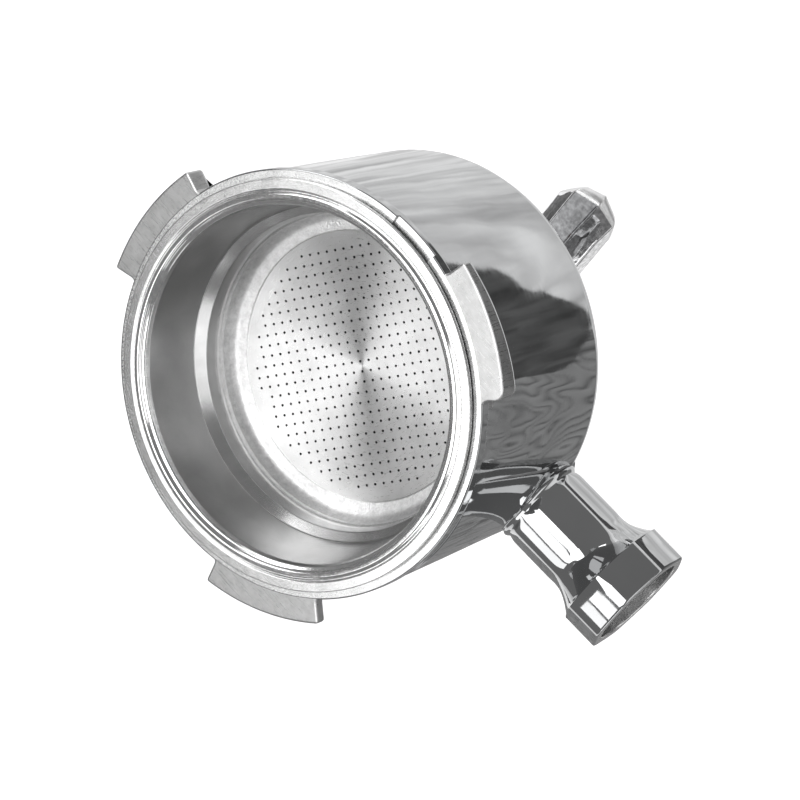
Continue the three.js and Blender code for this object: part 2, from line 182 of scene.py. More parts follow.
class Skin:
    """The points, faces and finishes of one piece, in millimetres."""

    def __init__(self):
        self.points = []
        self.faces = []
        self.finishes = []

    def rows(self, rows, finish=0, ring=True):
        """A skin through rows of points, all of one length. Each row closes on itself if ring is set.
        finish is one number, or a list with one for each strip between two rows."""
        rows = np.asarray(rows, float)
        start = len(self.points)
        count = rows.shape[1]
        self.points.extend(map(tuple, rows.reshape(-1, 3)))
        steps = count if ring else count - 1
        for strip in range(rows.shape[0] - 1):
            near = start + strip * count
            far = near + count
            slot = finish[strip] if isinstance(finish, (list, tuple)) else finish
            for i in range(steps):
                j = (i + 1) % count
                self.faces.append((near + i, near + j, far + j, far + i))
                self.finishes.append(slot)
        return start

    def cap(self, row, finish=0):
        """One flat face over a row of points."""
        start = len(self.points)
        self.points.extend(map(tuple, np.asarray(row, float)))
        self.faces.append(tuple(range(start, start + len(row))))
        self.finishes.append(finish)

    def piece(self, name, materials, body, replaced=(), sharp=32):
        """Makes the Blender object: joins doubled points, turns faces outwards, rides it on a body."""
        mesh = bpy.data.meshes.new(name)
        mesh.from_pydata([tuple(c * MM for c in p) for p in self.points], [], self.faces)
        mesh.polygons.foreach_set("material_index", self.finishes)
        for material in materials:
            mesh.materials.append(material)
        work = bmesh.new()
        work.from_mesh(mesh)
        bmesh.ops.remove_doubles(work, verts=work.verts, dist=0.002 * MM)
        bmesh.ops.dissolve_degenerate(work, edges=work.edges, dist=0.001 * MM)
        bmesh.ops.recalc_face_normals(work, faces=work.faces)
        work.to_mesh(mesh)
        work.free()
        mesh.shade_smooth()
        mesh.set_sharp_from_angle(angle=math.radians(sharp))
        obj = bpy.data.objects.new(name, mesh)
        bpy.context.scene.collection.objects.link(obj)
        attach(obj, body)
        for node in replaced:
            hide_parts(node)


def outline(points, closed=True, steps=4, support=0.15):
    """A profile with its corners rounded. Each point is (x, y, radius, finish), and the finish belongs to
    the line that leaves the point. Returns the rounded points and one finish for each step between them.
    Close to each rounding there is one more point on the straight line, so that flats shade flat."""
    places, finishes = [], []
    count = len(points)
    for i, (x, y, radius, finish) in enumerate(points):
        here = Vector((x, y))
        if radius == 0 or (not closed and i in (0, count - 1)):
            places.append(here)
            finishes.append(finish)
            continue
        back = Vector(points[i - 1][:2]) - here
        ahead = Vector(points[(i + 1) % count][:2]) - here
        half = back.angle(ahead) / 2
        reach = min(radius / math.tan(half), 0.48 * back.length, 0.48 * ahead.length)
        radius = reach * math.tan(half)
        halfway = (back.normalized() + ahead.normalized()).normalized()
        centre = here + halfway * (radius / math.sin(half))
        start = here + back.normalized() * reach
        end = here + ahead.normalized() * reach
        turn = (start - centre).angle_signed(end - centre)
        before = points[i - 1][3]
        places.append(here + back.normalized() * min(reach + support, 0.49 * back.length))
        finishes.append(before)
        for step in range(steps + 1):
            spoke = (start - centre).copy()
            spoke.rotate(Matrix.Rotation(-turn * step / steps, 2))
            places.append(centre + spoke)
            finishes.append(finish if step == steps else before)
        places.append(here + ahead.normalized() * min(reach + support, 0.49 * ahead.length))
        finishes.append(finish)
    if closed:
        places.append(places[0])
    else:
        finishes = finishes[:-1]
    return [tuple(p) for p in places], finishes


def turned(profile, angles):
    """Rows of points about Z from a profile of (radius, height)."""
    cos, sin = np.cos(angles), np.sin(angles)
    return [np.stack([r * cos, r * sin, np.full_like(cos, z)], 1) for r, z in profile]


def circle(count):
    """Evenly spaced angles round a full turn."""
    return np.linspace(0, 2 * math.pi, count, endpoint=False)


FACET_CROWN = 0.009


def eight_sided(angles, flat, sharpness, crown=FACET_CROWN):
    """Radius of an eight-sided section. The lower the sharpness, the rounder the corners. Each facet
    swells by the crown, as a share of its distance from the axis."""
    def total(turns):
        """Smooth largest of the eight facets' cosines."""
        each = [np.maximum(np.cos(turns - math.radians(45 * k)), 0) ** sharpness for k in range(8)]
        return sum(each) ** (1 / sharpness)
    angles = np.asarray(angles)
    swell = 1 + crown * (np.cos(4 * angles) ** 2 - 1)
    return flat * swell * total(np.zeros(1)) / total(angles)


def smooth(t):
    """Eases from 0 to 1 with no corner at either end."""
    t = min(max(t, 0.0), 1.0)
    return t * t * (3 - 2 * t)


def mix(a, b, t):
    """The value that lies the share t of the way from a to b."""
    return a + (b - a) * t


# ---- materials ------------------------------------------------------------------------------

class Finish:
    """A node material on one Principled shader, with short calls for what these metals need."""

    def __init__(self, name):
        self.material = bpy.data.materials.new(name)
        self.material.use_nodes = True
        self.nodes = self.material.node_tree.nodes
        self.links = self.material.node_tree.links
        self.shader = self.nodes["Principled BSDF"]
        self.place = self.nodes.new("ShaderNodeTexCoord").outputs["Object"]
        self.bump = None

    def set(self, **values):
        """Sets values that are the same over the whole surface."""
        for name, value in values.items():
            self.shader.inputs[name.replace("_", " ")].default_value = value
        return self

    def math(self, operation, a, b=None):
        """One arithmetic step between sockets or numbers."""
        node = self.nodes.new("ShaderNodeMath")
        node.operation = operation
        for socket, value in zip(node.inputs, (a, b)):
            if isinstance(value, bpy.types.NodeSocket):
                self.links.new(value, socket)
            elif value is not None:
                socket.default_value = value
        return node.outputs[0]

    def polar(self, around, along, height=0.0, centre=(0, 0)):
        """Coordinates (turn * around, radius * along, z * height) about the Z axis, for turning marks."""
        split = self.nodes.new("ShaderNodeSeparateXYZ")
        self.links.new(self.place, split.inputs[0])
        x = self.math("SUBTRACT", split.outputs[0], centre[0])
        y = self.math("SUBTRACT", split.outputs[1], centre[1])
        squares = self.math("ADD", self.math("MULTIPLY", x, x), self.math("MULTIPLY", y, y))
        radius = self.math("SQRT", squares)
        near = self.math("MAXIMUM", radius, 1e-6)
        joined = self.nodes.new("ShaderNodeCombineXYZ")
        across = self.math("MULTIPLY", self.math("DIVIDE", x, near), around)
        up = self.math("MULTIPLY", self.math("DIVIDE", y, near), around)
        reach = self.math("MULTIPLY", radius, along)
        drop = self.math("MULTIPLY", split.outputs[2], height)
        self.links.new(across, joined.inputs[0])
        self.links.new(up, joined.inputs[1])
        self.links.new(self.math("ADD", reach, drop), joined.inputs[2])
        return joined.outputs[0]

    def scaled(self, x, y, z, turn=(0, 0, 0)):
        """Object coordinates scaled by axis and turned, for marks that run one way."""
        node = self.nodes.new("ShaderNodeMapping")
        node.inputs["Scale"].default_value = (x, y, z)
        node.inputs["Rotation"].default_value = turn
        self.links.new(self.place, node.inputs["Vector"])
        return node.outputs[0]

    def noise(self, place, scale=1.0, detail=4.0, roughness=0.5, distortion=0.0):
        """Cloudy value between 0 and 1."""
        node = self.nodes.new("ShaderNodeTexNoise")
        node.inputs["Scale"].default_value = scale
        node.inputs["Detail"].default_value = detail
        node.inputs["Roughness"].default_value = roughness
        node.inputs["Distortion"].default_value = distortion
        self.links.new(place, node.inputs["Vector"])
        return node.outputs["Fac"]

    def cells(self, place, scale):
        """Distance to the nearest of many scattered points, for a blasted grain."""
        node = self.nodes.new("ShaderNodeTexVoronoi")
        node.inputs["Scale"].default_value = scale
        self.links.new(place, node.inputs["Vector"])
        return node.outputs["Distance"]

    def ramp(self, value, stops):
        """Colours or greys by value. Each stop is (position, grey) or (position, (r, g, b))."""
        node = self.nodes.new("ShaderNodeValToRGB")
        band = node.color_ramp
        while len(band.elements) < len(stops):
            band.elements.new(0.5)
        for element, (position, colour) in zip(band.elements, stops):
            element.position = position
            colour = (colour,) * 3 if isinstance(colour, (int, float)) else colour
            element.color = (*colour, 1)
        self.links.new(value, node.inputs[0])
        return node.outputs[0]

    def colour(self, value):
        """Drives the base colour."""
        self.links.new(value, self.shader.inputs["Base Color"])
        return self

    def rough(self, value):
        """Drives the roughness."""
        self.links.new(value, self.shader.inputs["Roughness"])
        return self

    def around_z(self):
        """Turns the grain of the surface round the Z axis."""
        tangent = self.nodes.new("ShaderNodeTangent")
        tangent.direction_type = "RADIAL"
        tangent.axis = "Z"
        self.links.new(tangent.outputs[0], self.shader.inputs["Tangent"])
        return self

    def raise_by(self, height, distance, strength=1.0):
        """Adds a bump. distance is the height in millimetres that the value 1 stands for."""
        node = self.nodes.new("ShaderNodeBump")
        node.inputs["Strength"].default_value = strength
        node.inputs["Distance"].default_value = distance * MM
        self.links.new(height, node.inputs["Height"])
        if self.bump is not None:
            self.links.new(self.bump, node.inputs["Normal"])
        self.bump = node.outputs[0]
        self.links.new(self.bump, self.shader.inputs["Normal"])
        return self


CHROME = (0.55, 0.555, 0.56)


def mirror_chrome(name, wobble, ripple=0.0, base=CHROME, mottle=(90, 0.93)):
    """Chrome over a hand-polished casting: slow waves and, where a ripple height is given, the shorter
    ones that a casting keeps, under a clear surface with faint polishing lines. mottle is the scale of
    the patches and the share of the base colour that the darkest of them keep."""
    f = Finish(name).set(Metallic=1.0)
    lines = f.noise(f.scaled(260, 260, 3600), detail=5, roughness=0.6)
    scale, darkest = mottle
    patches = f.noise(f.place, scale, detail=3)
    f.colour(f.ramp(patches, [(0.35, tuple(darkest * c for c in base)), (0.65, base)]))
    f.rough(f.ramp(lines, [(0.35, 0.025), (0.75, 0.075)]))
    f.raise_by(f.noise(f.place, 80, detail=1), 0.06 * wobble)
    if ripple:
        f.raise_by(f.noise(f.place, 420, detail=2), ripple)
    f.raise_by(lines, 0.0006)
    return f.material


def turned_face(name, base, rough_low, rough_high, depth):
    """A face cut in a lathe: fine rings round the axis, broken up by small scratches."""
    f = Finish(name).set(Metallic=1.0, Anisotropic=0.4)
    rings = f.noise(f.polar(14, 9000, 9000), detail=3, roughness=0.7)
    grit = f.noise(f.place, 2600, detail=3, roughness=0.7)
    blotch = f.noise(f.place, 240, detail=4)
    f.colour(f.ramp(blotch, [(0.3, tuple(0.82 * c for c in base)), (0.7, base)]))
    f.rough(f.ramp(grit, [(0.3, rough_low), (0.7, rough_high)]))
    f.raise_by(rings, depth)
    f.raise_by(grit, depth * 0.7)
    return f.material


def ground_face(name):
    """Lug faces: ground flat, with long crossing grinding scratches."""
    f = Finish(name).set(Metallic=1.0)
    long_lines = f.noise(f.scaled(220, 9000, 220, (0, 0, 0.6)), detail=3, roughness=0.7)
    cross_lines = f.noise(f.scaled(7000, 260, 260, (0, 0, 1.0)), detail=3, roughness=0.7)
    f.colour(f.ramp(f.noise(f.place, 420, detail=5, roughness=0.65),
                    [(0.3, (0.44, 0.44, 0.44)), (0.7, (0.58, 0.58, 0.58))]))
    f.rough(f.ramp(long_lines, [(0.3, 0.24), (0.75, 0.4)]))
    f.raise_by(long_lines, 0.006)
    f.raise_by(cross_lines, 0.009)
    return f.material


def basket_wall(name):
    """Drawn steel: satin, with faint draw lines down the wall."""
    f = Finish(name).set(Metallic=1.0, Anisotropic=0.3)
    draw_lines = f.noise(f.polar(900, 120, 60), detail=3, roughness=0.6)
    cloud = f.noise(f.place, 150, detail=3)
    f.colour(f.ramp(cloud, [(0.3, (0.62, 0.62, 0.62)), (0.7, (0.76, 0.76, 0.76))]))
    f.rough(f.ramp(draw_lines, [(0.3, 0.16), (0.75, 0.26)]))
    f.raise_by(draw_lines, 0.0015)
    return f.material


def basket_floor(name):
    """Brushed round the centre, so light gathers in two fans across the floor."""
    f = Finish(name).set(Metallic=1.0, Anisotropic=0.95, Anisotropic_Rotation=0.25)
    f.around_z()
    rings = f.noise(f.polar(10, 7000), detail=4, roughness=0.7)
    stain = f.noise(f.place, 130, detail=5, roughness=0.6)
    f.colour(f.ramp(stain, [(0.3, (0.56, 0.56, 0.56)), (0.7, (0.69, 0.69, 0.69))]))
    f.rough(f.ramp(rings, [(0.3, 0.25), (0.75, 0.38)]))
    f.raise_by(rings, 0.0014)
    return f.material


def blasted_steel(name):
    """The matt ring round the floor: a fine even grain."""
    f = Finish(name).set(Metallic=1.0, Anisotropic=0.9, Anisotropic_Rotation=0.25)
    f.around_z()
    grain = f.cells(f.place, 2900)
    f.colour(f.ramp(f.noise(f.place, 900, detail=4, roughness=0.7),
                    [(0.3, (0.68, 0.68, 0.68)), (0.7, (0.95, 0.95, 0.95))]))
    f.rough(f.ramp(grain, [(0.1, 0.3), (0.8, 0.44)]))
    f.raise_by(grain, 0.03)
    return f.material


def plain_steel(name, tone, rough_low, rough_high, depth=0.002):
    """Bare steel with a fine cloudy grain."""
    f = Finish(name).set(Metallic=1.0)
    grain = f.noise(f.place, 1500, detail=4, roughness=0.65)
    f.colour(f.ramp(grain, [(0.3, tone * 0.85), (0.7, tone)]))
    f.rough(f.ramp(grain, [(0.3, rough_low), (0.7, rough_high)]))
    f.raise_by(grain, depth)
    return f.material


def red_fibre(name):
    """Pressed fibre sheet, a little mottled, with short hairs in it."""
    f = Finish(name).set(Metallic=0.0)
    hairs = f.noise(f.scaled(2600, 700, 700, (0, 0, 0.5)), detail=5, roughness=0.7)
    f.colour(f.ramp(hairs, [(0.3, (0.24, 0.07, 0.04)), (0.7, (0.42, 0.17, 0.10))]))
    f.rough(f.ramp(hairs, [(0.3, 0.65), (0.7, 0.9)]))
    f.raise_by(hairs, 0.03)
    return f.material


# ---- holder ---------------------------------------------------------------------------------

HOLDER_MATERIALS = [
    mirror_chrome("chrome_wall", 1.0),
    turned_face("turned_rim", (0.88, 0.88, 0.88), 0.2, 0.33, 0.003),
    ground_face("ground_lug"),
    plain_steel("cup_inside", 0.75, 0.26, 0.4, 0.0008),
    mirror_chrome("chrome_neck", 1.3, 0.004),
    plain_steel("socket_steel", 0.85, 0.18, 0.3, 0.001),
]
WALL, TURNED, GROUND, INSIDE, NECK, SOCKET = range(6)


def cup(skin):
    """Wall, foot, floor, bore with its wire groove, and notched rim, as one turned form."""
    outlet = THREAD_CREST_RADIUS + PART_GAP
    groove_radius = BORE_RADIUS + GROOVE_DEPTH
    profile = [
        (outlet, UNDER_BOSS_BOTTOM, 0.3, TURNED),
        (UNDER_BOSS_RADIUS, UNDER_BOSS_BOTTOM, 0.4, WALL),
        (UNDER_BOSS_RADIUS, CUP_BOTTOM, 1.2, WALL),
        (WALL_FOOT_RADIUS, CUP_BOTTOM, FOOT_ROUND, WALL),
        (WALL_TOP_RADIUS, RIM_FOOT, 0.25, WALL),
        (RIM_RADIUS, RIM_FOOT + 0.35, 0.2, WALL),
        (RIM_RADIUS, RIM_TOP, 0.28, TURNED),
        (BORE_RADIUS, RIM_TOP, 0.4, INSIDE),
        (BORE_RADIUS, GROOVE_TOP, 0.12, INSIDE),
        (groove_radius, GROOVE_TOP, 0.2, INSIDE),
        (groove_radius, GROOVE_FOOT, 0.2, INSIDE),
        (BORE_RADIUS, GROOVE_FOOT, 0.12, INSIDE),
        (BORE_RADIUS, CUP_FLOOR, 2.5, INSIDE),
        (outlet, CUP_FLOOR, 0.5, INSIDE),
    ]
    points, finishes = outline(profile, steps=6)
    fine = set(np.degrees(circle(CUP_STEPS)))
    for side in (-1, 1):
        edge = NOTCH_MIDDLE + side * NOTCH_HALF_SPAN
        fine.update(edge + offset * NOTCH_EDGE for offset in (-1, 0, 1 / 3, 2 / 3, 1))
    degrees = np.array(sorted(fine))
    from_edge = NOTCH_HALF_SPAN + NOTCH_EDGE / 2 - np.abs(degrees - NOTCH_MIDDLE)
    inside = np.clip(from_edge / NOTCH_EDGE, 0, 1)
    rows = turned(points, np.radians(degrees))
    for row, (radius, height) in zip(rows, points):
        if radius > NOTCH_INNER_RADIUS and height > RIM_TOP - RIM_HEIGHT / 2:
            row[:, 2] -= NOTCH_DEPTH * inside
    skin.rows(rows, finishes)


def lug(skin, middle):
    """A wedge: flat ground top, underside rising towards its thin end, small root fillets on the rim."""
    half = math.radians(LUG_SPAN / 2)
    buried = RIM_RADIUS - LUG_SINK
    on_rim = RIM_RADIUS - 0.05
    in_wall = WALL_TOP_RADIUS - 0.15
    top = RIM_TOP - LUG_BELOW_RIM
    root = math.radians(LUG_ROOT)
    thick_root, thick_fillet, thick_corner, arc_start = root, LUG_FILLET, LUG_CORNER, 0.04
    if middle == ROUNDED_LUG:
        thick_root, thick_fillet = math.radians(ROUNDED_ROOT), ROUNDED_FILLET
        thick_corner, arc_start = ROUNDED_CORNER, 0.18

    def at(radius, angle, fillet):
        """Corner of the plan at a radius and an angle."""
        return (radius * math.cos(angle), radius * math.sin(angle), fillet, 0)

    start, end = math.radians(middle) - half, math.radians(middle) + half
    shape = [at(buried, start - thick_root, 0), at(in_wall, start - thick_root, 0),
             at(on_rim, start, thick_fillet), at(LUG_RADIUS, start, thick_corner)]
    shape += [at(LUG_RADIUS, mix(start, end, t), 0) for t in np.linspace(arc_start, 0.96, 24)]
    shape += [at(LUG_RADIUS, end, LUG_CORNER), at(on_rim, end, LUG_FILLET), at(in_wall, end + root, 0),
              at(buried, end + root, 0)]
    shape += [at(buried, mix(end, start, t), 0) for t in np.linspace(0, 1, 26)]
    plan = np.array(outline(shape, steps=5, support=0.1)[0][:-1])
    ahead = np.roll(plan, -1, 0) - np.roll(plan, 1, 0)
    outward = np.stack([ahead[:, 1], -ahead[:, 0]], 1)
    outward /= np.linalg.norm(ahead, axis=1)[:, None]
    turn = (np.arctan2(plan[:, 1], plan[:, 0]) - start) % (2 * math.pi)
    along = np.where(turn > math.pi, 0, np.clip(turn / (2 * half), 0, 1))
    under = top - mix(LUG_THICK_END, LUG_THIN_END, along)
    level = np.full(len(plan), top)

    def ring(inset, height):
        """The plan drawn in by the inset, at one height or at a height for each point."""
        return np.column_stack([plan - outward * inset, height * np.ones(len(plan))])

    foot_rounding = [(0.95, under), (0.8, under), (0.38, under + 0.16), (0.1, under + 0.48),
                     (0, under + 0.9), (0, under + 1.05)]
    top_rounding = [(0, level - 0.4), (0, level - 0.25), (0.08, level - 0.07),
                    (0.25, level), (0.4, level)]
    rings = [ring(inset, height) for inset, height in foot_rounding + top_rounding]
    skin.rows(rings, [WALL] * 5 + [GROUND] * 5)
    skin.cap(rings[0], WALL)
    skin.cap(rings[-1], GROUND)


def neck_ring(angles, distance, radius):
    """Row of points round the neck's axis, at one radius or at a radius for each angle."""
    return neck_place(distance, radius * np.cos(angles), radius * np.sin(angles))


def boss(skin):
    """Rounded rib on the wall that grows out of the rim and carries the neck."""
    across = np.linspace(-1, 1, 61)
    rows = []
    for side in across:
        row = []
        for down in np.linspace(0, 1, 41):
            half = mix(*BOSS_HALF_ANGLES, down)
            wall = mix(WALL_TOP_RADIUS, WALL_FOOT_RADIUS, down)
            rise = mix(*BOSS_RISES, math.sin(down * math.pi / 2))
            crown = max(1 - abs(side) ** 2.4, 0) ** 0.62
            radius = wall - BOSS_SINK + (rise + BOSS_SINK) * crown
            angle = math.radians(side * half)
            height = mix(BOSS_TOP, BOSS_FOOT, down)
            row.append((radius * math.cos(angle), radius * math.sin(angle), height))
        back = []
        for x, y, height in (row[-1], row[0]):
            angle = math.atan2(y, x)
            back.append((BOSS_BACK_RADIUS * math.cos(angle), BOSS_BACK_RADIUS * math.sin(angle), height))
        rows.append(row + back)
    skin.rows(rows, NECK)
    skin.cap(rows[0], NECK)
    skin.cap(rows[-1], NECK)


def neck_place(distance, across, up):
    """Points beside the neck's axis, at a distance along it from its start."""
    x = NECK_START.x + distance * math.cos(NECK_SLOPE) + up * math.sin(NECK_SLOPE)
    z = NECK_START.z - distance * math.sin(NECK_SLOPE) + up * math.cos(NECK_SLOPE)
    return np.column_stack([x, across, z])


def neck_outside(angles):
    """Rows along the octagonal neck, its flare and its collar."""
    sharp, rounded, half_sharp = 30, 10, 20

    def section(distance, flat, sharpness):
        """Eight-sided row at a distance along the neck."""
        return neck_ring(angles, distance, eight_sided(angles, flat, sharpness))

    rows = [section(NECK_ROOT, NECK_FLAT, rounded)]
    for t in np.linspace(0, 1, 13):
        ridge = RIDGE_RISE * math.sin(math.pi * t) ** 1.2
        rows.append(section(RIDGE_END * t, NECK_FLAT + ridge, rounded))
    for t in np.linspace(0.1, 1, 9):
        rows.append(section(mix(RIDGE_END, FLATS_START, t), NECK_FLAT, mix(rounded, sharp, smooth(t))))
    rows += [section(distance, NECK_FLAT, sharp) for distance in (5, 7, 9, FLATS_END)]
    flare_end = COLLAR_START - 0.25
    for t in np.linspace(0.05, 1, 19):
        distance = mix(FLATS_END, flare_end, t)
        rise = max(0, (distance - FLARE_START) / (flare_end - FLARE_START)) ** 1.7
        flat = mix(NECK_FLAT, COLLAR_FLAT - 0.1, rise)
        rows.append(section(distance, flat, mix(sharp, rounded, smooth(t * 1.6))))
    rows += [section(COLLAR_START - 0.1, COLLAR_FLAT, half_sharp),
             section(COLLAR_START, COLLAR_FLAT + 0.05, sharp)]
    collar = (COLLAR_START + 0.2, COLLAR_END - 0.5)
    rows += [section(mix(*collar, t), COLLAR_FLAT, sharp) for t in (0, 0.5, 1)]
    for degree in (0, 30, 60, 90):
        back = COLLAR_EDGE * (1 - math.sin(math.radians(degree)))
        inset = COLLAR_EDGE * (1 - math.cos(math.radians(degree)))
        rows.append(section(COLLAR_END - back, COLLAR_FLAT - inset, sharp))
    rows.append(section(COLLAR_END, COLLAR_FLAT - 0.5, sharp))
    return rows


def neck_bore(angles):
    """Rows of the plain socket in the collar's face and of the threaded bore behind it."""
    socket_floor = COLLAR_END - SOCKET_DEPTH
    mouth = [(SOCKET_RADIUS + 0.5, COLLAR_END, 0, 0), (SOCKET_RADIUS, COLLAR_END, 0.3, 0),
             (SOCKET_RADIUS, socket_floor, 0.5, 0),
             (HANDLE_THREAD_RADIUS + 0.7, socket_floor, 0, 0),
             (HANDLE_THREAD_RADIUS + 0.2, socket_floor - 0.4, 0, 0)]
    inner = outline(mouth, closed=False)[0]
    rows = [neck_ring(angles, distance, radius) for radius, distance in inner]
    deep = COLLAR_END - HANDLE_BORE_DEPTH
    for distance in np.arange(inner[-1][1] - 0.2, deep + 2, -HANDLE_THREAD_PITCH / 6):
        phase = (distance / HANDLE_THREAD_PITCH - angles / (2 * math.pi)) % 1
        thread = 2 * HANDLE_THREAD_DEPTH * np.abs(phase - 0.5)
        rows.append(neck_ring(angles, distance, HANDLE_THREAD_RADIUS + thread))
    rows.append(neck_ring(angles, deep + 1.5, HANDLE_THREAD_RADIUS))
    rows.append(neck_ring(angles, deep, 0.05))
    return rows


def neck(skin):
    """Octagonal neck with its collar, and inside it the socket and threaded bore."""
    angles = circle(192)
    outside = neck_outside(angles)
    inside = neck_bore(angles)
    skin.rows(outside + inside, [NECK] * (len(outside) - 1) + [SOCKET] * len(inside))
    skin.cap(outside[0], NECK)
    skin.cap(inside[-1], SOCKET)


def holder():
    """The whole casting: cup, lugs, boss and neck."""
    skin = Skin()
    cup(skin)
    for middle in LUG_MIDDLES:
        lug(skin, middle)
    boss(skin)
    neck(skin)
    skin.piece("holder_casting", HOLDER_MATERIALS, "holder", ["holder_body"])


# ---- basket and wire --------------------------------------------------------------------------

BASKET_MATERIALS = [
    turned_face("basket_flange", (0.95, 0.95, 0.95), 0.16, 0.28, 0.002),
    plain_steel("basket_bead", 0.92, 0.08, 0.16, 0.0004),
    basket_wall("basket_wall"),
    blasted_steel("basket_blasted_ring"),
    basket_floor("basket_floor"),
    # The hole walls are the same steel painted near black: painted shade inside the small holes.
    plain_steel("hole_wall_painted_shade", 0.16, 0.4, 0.6),
]
FLANGE, BEAD, BASKET_WALL, BLASTED, FLOOR, HOLE_SHADE = range(6)


def floor_height(radius):
    """The floor sags a little towards its centre."""
    return mix(FLOOR_CENTRE, FLOOR_EDGE[1], (radius / FLOOR_EDGE[0]) ** 2)


def hole_centres():
    """Square grid of hole centres inside the perforated circle."""
    reach = int(PERFORATED_RADIUS / HOLE_PITCH) + 2
    turn = Matrix.Rotation(HOLE_TURN, 2)
    places = []
    for i in range(-reach, reach + 1):
        for j in range(-reach, reach + 1):
            place = turn @ Vector((i * HOLE_PITCH, j * HOLE_PITCH)) + Vector(HOLE_OFFSET)
            if place.length < PERFORATED_RADIUS:
                places.append(place)
    return places


def cell_corners():
    """Corners of the square cells round the holes, which keep the mesh between the holes even."""
    half = HOLE_PITCH / 2
    corners_found = {}
    turn = Matrix.Rotation(HOLE_TURN, 2)
    for centre in hole_centres():
        for x, y in ((half, half), (half, -half), (-half, half), (-half, -half)):
            place = centre + turn @ Vector((x, y))
            if place.length < FLOOR_EDGE[0] - 0.3:
                corners_found[(round(place.x, 2), round(place.y, 2))] = place
    return list(corners_found.values())


def perforated_floor(skin, edge_angles):
    """Floor between the holes, on both faces of the sheet, and the wall of each hole."""
    edge_radius = FLOOR_EDGE[0]
    rim = [Vector((edge_radius * math.cos(a), edge_radius * math.sin(a))) for a in edge_angles]
    points, loops = list(rim), [list(range(len(rim)))]
    for centre in hole_centres():
        first = len(points)
        for turn in circle(HOLE_SIDES):
            points.append(centre + HOLE_RADIUS * Vector((math.cos(turn), math.sin(turn))))
        loops.append(list(range(first, first + HOLE_SIDES)))
    edges = [(loop[k], loop[(k + 1) % len(loop)]) for loop in loops for k in range(len(loop))]
    points.extend(cell_corners())
    result = delaunay_2d_cdt(points, edges, [], 0, 1e-7)
    flat, faces, sources = result[0], result[2], result[3]
    origin = {}
    for new, old in enumerate(sources):
        for index in old:
            origin[index] = new
    holes = [frozenset(origin[i] for i in loop) for loop in loops[1:]]
    owner = {vertex: number for number, hole in enumerate(holes) for vertex in hole}
    kept = []
    for face in faces:
        touched = {owner.get(vertex) for vertex in face}
        over_a_hole = len(touched) == 1 and None not in touched
        if not over_a_hole:
            kept.append(face)
    for drop, flip in ((0, False), (SHEET, True)):
        start = len(skin.points)
        skin.points.extend((p.x, p.y, floor_height(p.length) - drop) for p in flat)
        for face in kept:
            order = face[::-1] if flip else face
            skin.faces.append(tuple(start + v for v in order))
            skin.finishes.append(FLOOR)
        if drop == 0:
            top = start
        else:
            low = start
    # Each hole's wall takes the near-black finish, which is painted shade.
    for loop in loops[1:]:
        for k in range(len(loop)):
            a, b = origin[loop[k]], origin[loop[(k + 1) % len(loop)]]
            skin.faces.append((top + a, top + b, low + b, low + a))
            skin.finishes.append(HOLE_SHADE)


def basket():
    """Pressed sheet: flange, bead, tapered wall, step, creased lower wall and drilled floor."""
    edge_radius, edge_height = FLOOR_EDGE
    inside = [
        (edge_radius, edge_height, 0, FLOOR),
        (23.55, -20.75, 0.3, BLASTED),
        (23.75, -20.62, 0.2, BLASTED),
        (26.35, -20.5, 2.3, BLASTED),
        (26.95, -18.3, 0, BEAD),
        (26.95, -18.15, 0, BEAD),
        (27.1, -17.35, 0, BEAD),
        (27.05, -17.25, 0, BEAD),
        (27.25, -16.1, 0.35, BASKET_WALL),
        (27.5, -14.1, 0.5, BASKET_WALL),
        (29.0, -12.3, 0.8, BASKET_WALL),
        (30.45, -1.5, 0.5, BEAD),
        (30.75, -0.6, 0.4, BEAD),
        (31.3, -0.35, 0.3, BEAD),
        (31.65, 0.2, 0.4, BEAD),
        (32.45, 0.2, 0.4, BEAD),
        (32.85, -0.3, 0.15, BEAD),
        (33.1, -0.32, 0.12, BEAD),
        (33.3, 0.0, 0.12, FLANGE),
        (FLANGE_RADIUS, 0.0, 0.2, FLANGE),
        (FLANGE_RADIUS, -FLANGE_THICKNESS, 0.25, FLANGE),
        (31.9, -FLANGE_THICKNESS, 0.6, BASKET_WALL),
        (31.3, -1.6, 0.8, BASKET_WALL),
        (29.8, -12.8, 0.9, BASKET_WALL),
        (28.3, -14.6, 0.6, BASKET_WALL),
        (27.3, -20.0, 1.6, BASKET_WALL),
        (25.6, -21.35, 0.6, BASKET_WALL),
        (edge_radius, edge_height - SHEET, 0, BASKET_WALL),
    ]
    points, finishes = outline(inside, closed=False, steps=5, support=0.12)
    angles = circle(192)
    skin = Skin()
    skin.rows(turned(points, angles), finishes)
    perforated_floor(skin, angles)
    skin.piece("drilled_basket", BASKET_MATERIALS, "basket", ["filter_basket"],
               sharp=40)


def wire():
    """Open spring ring in its groove, pinched inwards a little at three places to grip the basket."""
    thickness = (WIRE_HIGH.z - WIRE_LOW.z) / 2
    ring_radius = WIRE_HIGH.y - thickness
    gap = math.radians(WIRE_HALF_GAP)
    rows = []
    for t in np.linspace(0, 1, 161):
        angle = mix(gap, 2 * math.pi - gap, t)
        end = smooth(min(t, 1 - t) * 30)
        pinch = WIRE_PINCH * max(math.cos(3 * (angle - math.pi / 3)), 0) ** 8
        radius = ring_radius + WIRE_END_FLARE * (1 - end) - pinch
        round_angles = circle(14)
        across = radius + thickness * np.cos(round_angles)
        rows.append(np.column_stack([across * math.cos(angle), across * math.sin(angle),
                                     WIRE_HEIGHT + thickness * np.sin(round_angles)]))
    skin = Skin()
    skin.rows(rows)
    skin.cap(rows[0])
    skin.cap(rows[-1])
    skin.piece("retaining_spring", [plain_steel("spring_steel", 0.5, 0.22, 0.4)], "holder",
               ["basket_retaining_wire"], sharp=50)


# ---- washer and spout -------------------------------------------------------------------------

